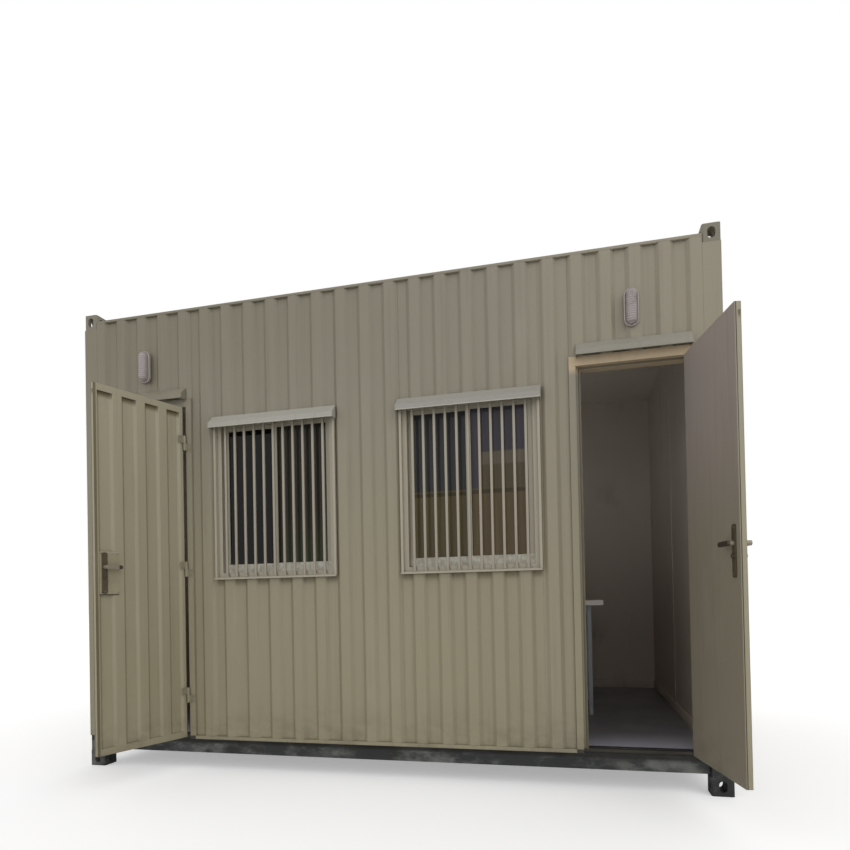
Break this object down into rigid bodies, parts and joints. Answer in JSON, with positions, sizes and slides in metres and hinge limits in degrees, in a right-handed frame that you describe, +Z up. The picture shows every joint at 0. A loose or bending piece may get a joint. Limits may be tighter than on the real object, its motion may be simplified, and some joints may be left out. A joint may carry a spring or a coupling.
{
  "type": "shipping container cabin",
  "caption": "Steel site cabin of container form: corrugated walls, two outward-opening doors, two barred sliding windows, drip canopies, lamps and a table inside.",
  "frame": {"origin": "on the ground under the middle of the cabin's plan, in the plane of the corner blocks' undersides", "axes": "+X along the long front wall to the viewer's right, the front wall faces -Y, +Z up"},
  "size_m": [3.8, 3.0111, 2.896],
  "materials": {
    "wall_paint": "satin, chalky, rain-streaked",
    "frame_paint": "satin",
    "canopy_paint": "satin",
    "base_paint": "matt, mottled",
    "roof_paint": "matt, dusty",
    "joist_paint": "matt primer",
    "lining_board": "smooth painted board",
    "floor_vinyl": "satin vinyl",
    "hinge_steel": "painted, worn on the knuckles",
    "lock_metal": "dark satin",
    "lever_metal": "satin",
    "glass": "clear",
    "lamp_base": "satin",
    "lamp_cover": "frosted, ribbed",
    "table_board": "laminated, satin",
    "table_steel": "satin"
  },
  "bodies": {
    "cabin": {"base_side_rails": "base_paint", "base_end_rails": "base_paint", "bottom_corner_blocks": "base_paint", "floor_joists": "joist_paint", "floor_board": "floor_vinyl", "corner_posts": "wall_paint", "top_corner_blocks": "wall_paint", "top_side_rails": "wall_paint", "top_end_rails": "wall_paint", "roof_panel": "roof_paint", "ceiling_board": "lining_board", "wall_foot_strips": "wall_paint", "front_wall_piers": "wall_paint", "front_wall_below_windows": "wall_paint", "front_wall_above_windows": "wall_paint", "front_wall_above_doors": "wall_paint", "front_lining_piers": "lining_board", "front_lining_below_windows": "lining_board", "front_lining_above_windows": "lining_board", "front_lining_above_doors": "lining_board", "back_wall": "wall_paint", "left_end_wall": "wall_paint", "right_end_wall": "wall_paint", "back_lining": "lining_board", "left_end_lining": "lining_board", "right_end_lining": "lining_board", "left_door_frame": "wall_paint", "right_door_frame": "wall_paint", "window_1_frame": "frame_paint", "window_2_frame": "frame_paint", "window_1_sashes": "frame_paint", "window_2_sashes": "frame_paint", "window_1_glass": "glass", "window_2_glass": "glass", "window_1_canopy": "canopy_paint", "window_2_canopy": "canopy_paint", "left_door_canopy": "canopy_paint", "right_door_canopy": "canopy_paint", "lamp_bases": "lamp_base", "lamp_covers": "lamp_cover", "table_top": "table_board", "table_frame": "table_steel", "left_door_frame_hinges": "hinge_steel", "right_door_frame_hinges": "hinge_steel"},
    "left_door": {"left_door_leaf": "wall_paint", "left_door_hinges": "hinge_steel", "left_door_lock": "lock_metal"},
    "left_lever": {"left_door_lever": "lever_metal"},
    "right_door": {"right_door_leaf": "wall_paint", "right_door_hinges": "hinge_steel", "right_door_lock": "lock_metal"},
    "right_lever": {"right_door_lever": "lever_metal"}
  },
  "joints": [
    {"name": "left_door_hinge", "type": "hinge", "parent": "cabin", "child": "left_door", "pos_m": [-1.175, -1.231, 1.17], "axis": [0, 0, 1], "range_deg": [-71, 49]},
    {"name": "right_door_hinge", "type": "hinge", "parent": "cabin", "child": "right_door", "pos_m": [1.745, -1.231, 1.17], "axis": [0, 0, 1], "range_deg": [-101, 19]},
    {"name": "left_lever_turn", "type": "hinge", "parent": "left_door", "child": "left_lever", "pos_m": [-1.34267, -1.71794, 1.23], "axis": [-0.9455, 0.3256, 0], "range_deg": [0, 40], "stiffness_Nm_per_rad": 2, "springref_deg": -20.05},
    {"name": "right_lever_turn", "type": "hinge", "parent": "right_door", "child": "right_lever", "pos_m": [1.84327, -1.73654, 1.23], "axis": [-0.9816, -0.1908, 0], "range_deg": [0, 40], "stiffness_Nm_per_rad": 2, "springref_deg": -20.05}
  ]
}
